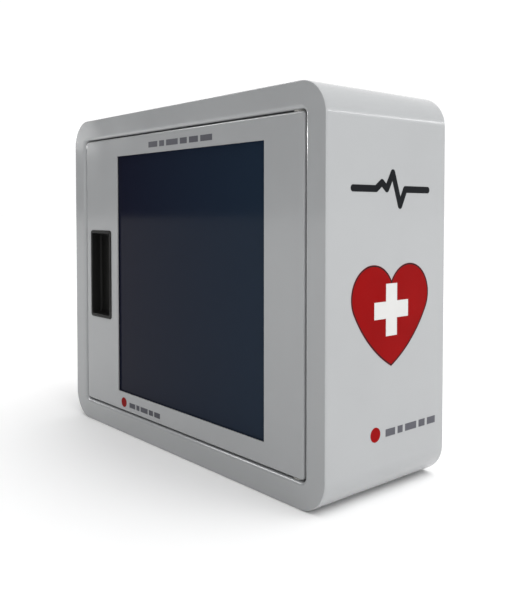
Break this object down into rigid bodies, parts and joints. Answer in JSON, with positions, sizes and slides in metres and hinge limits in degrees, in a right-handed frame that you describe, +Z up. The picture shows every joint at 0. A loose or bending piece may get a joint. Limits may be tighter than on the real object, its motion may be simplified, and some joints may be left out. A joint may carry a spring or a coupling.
{
  "type": "defibrillator wall cabinet",
  "caption": "Round-cornered sheet-steel wall cabinet for a defibrillator, with a hinged windowed door, recessed pull, magnetic catch, door alarm and shelf.",
  "frame": {"origin": "centre of the back face, on the wall, midway between the four wall holes", "axes": "+X to the right of a person facing the door, +Y into the wall, +Z up"},
  "size_m": [0.4306, 0.16, 0.36],
  "materials": {
    "cabinet_paint": "glossy light-grey powder coat",
    "black_plastic": "moulded, satin",
    "smoked_acrylic": "dark smoked sheet, polished",
    "seal_rubber": "soft foam and sheet rubber",
    "zinc_steel": "bright zinc plate",
    "retainer_aluminium": "mill finish",
    "white_nylon": "moulded nylon",
    "magnet_ferrite": "sintered, dull",
    "alarm_plastic": "fine texture",
    "siren_plastic": "moulded",
    "circuit_green": "solder resist",
    "battery_case": "printed sleeve with no print",
    "vinyl_red": "printed vinyl",
    "vinyl_white": "printed vinyl",
    "vinyl_black": "printed vinyl",
    "vinyl_grey": "printed vinyl"
  },
  "bodies": {
    "cabinet": {"cabinet_wrap": "cabinet_paint", "back_panel": "cabinet_paint", "front_frame": "cabinet_paint", "door_stop_top": "cabinet_paint", "door_stop_bottom": "cabinet_paint", "door_stop_left": "cabinet_paint", "door_seal": "seal_rubber", "hinge_bush_upper": "white_nylon", "hinge_bush_lower": "white_nylon", "catch_housing": "black_plastic", "catch_magnet": "magnet_ferrite", "catch_poles": "zinc_steel", "catch_screws": "zinc_steel", "door_switch_body": "black_plastic", "alarm_bracket": "cabinet_paint", "alarm_base": "alarm_plastic", "alarm_cover": "alarm_plastic", "alarm_siren": "siren_plastic", "alarm_circuit_board": "circuit_green", "alarm_battery": "battery_case", "alarm_battery_clip": "black_plastic", "alarm_screws": "zinc_steel", "alarm_switch_body": "black_plastic", "device_shelf": "cabinet_paint", "shelf_mat": "seal_rubber", "heart_right": "vinyl_red", "cross_right": "vinyl_white", "pulse_right": "vinyl_black", "label_dot_right": "vinyl_red", "label_bars_right": "vinyl_grey", "heart_left": "vinyl_red", "cross_left": "vinyl_white", "pulse_left": "vinyl_black", "label_dot_left": "vinyl_red", "label_bars_left": "vinyl_grey"},
    "door": {"door_panel": "cabinet_paint", "window_gasket": "seal_rubber", "window_pane": "smoked_acrylic", "pane_retainer_left": "retainer_aluminium", "pane_retainer_right": "retainer_aluminium", "pane_retainer_top": "retainer_aluminium", "pane_retainer_bottom": "retainer_aluminium", "pane_studs": "zinc_steel", "pane_nuts": "zinc_steel", "handle_cup": "black_plastic", "handle_clamp": "zinc_steel", "handle_screws": "zinc_steel", "hinge_bracket_upper": "zinc_steel", "hinge_bracket_lower": "zinc_steel", "hinge_pin_upper": "zinc_steel", "hinge_pin_lower": "zinc_steel", "hinge_pin_spring": "zinc_steel", "strike_plate": "zinc_steel", "switch_tab": "zinc_steel", "title_bars": "vinyl_grey", "label_dot_door": "vinyl_red", "label_bars_door": "vinyl_grey"},
    "rocker": {"alarm_rocker": "black_plastic"},
    "plunger": {"switch_plunger": "white_nylon"}
  },
  "joints": [
    {"name": "door_swing", "type": "hinge", "parent": "cabinet", "child": "door", "pos_m": [0.178, -0.1515, 0], "axis": [0, 0, 1], "range_deg": [0, 115]},
    {"name": "switch_plunge", "type": "slide", "parent": "cabinet", "child": "plunger", "axis": [0, -1, 0], "range_m": [0, 0.003]},
    {"name": "alarm_switch_tilt", "type": "hinge", "parent": "cabinet", "child": "rocker", "pos_m": [-0.1, -0.108, 0.1506], "axis": [0, 1, 0], "range_deg": [0, 12]}
  ],
  "couplings": [
    {"joint": "switch_plunge", "follows": "door_swing", "m_per_rad": 0.00149}
  ]
}
